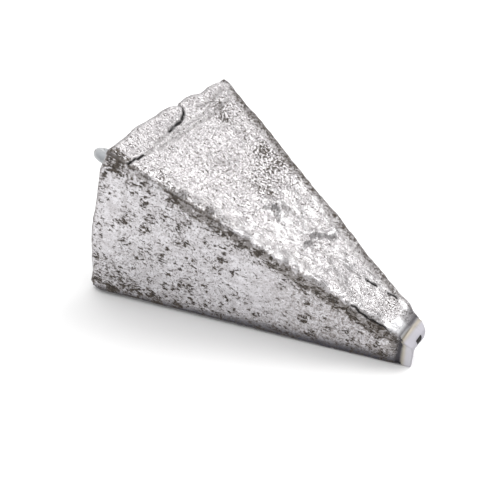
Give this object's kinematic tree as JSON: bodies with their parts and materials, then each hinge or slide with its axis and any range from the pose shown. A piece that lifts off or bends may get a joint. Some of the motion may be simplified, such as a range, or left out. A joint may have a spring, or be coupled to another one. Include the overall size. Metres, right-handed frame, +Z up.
{
  "type": "fishing sinker",
  "caption": "Cast lead pyramid sinker with a cast-in wire line eye, lying on one side.",
  "frame": {"origin": "middle of the whole sinker's bounding box, on the ground that the lower side rests on", "axes": "+Z up, +X from the pour face towards the nose, with the line eye at the -X end"},
  "size_m": [0.0457, 0.022, 0.0214],
  "materials": {
    "cast_lead": "satin",
    "steel_wire": "satin"
  },
  "bodies": {
    "root": {"lead_body": "cast_lead", "wire_eye": "steel_wire"}
  },
  "joints": []
}
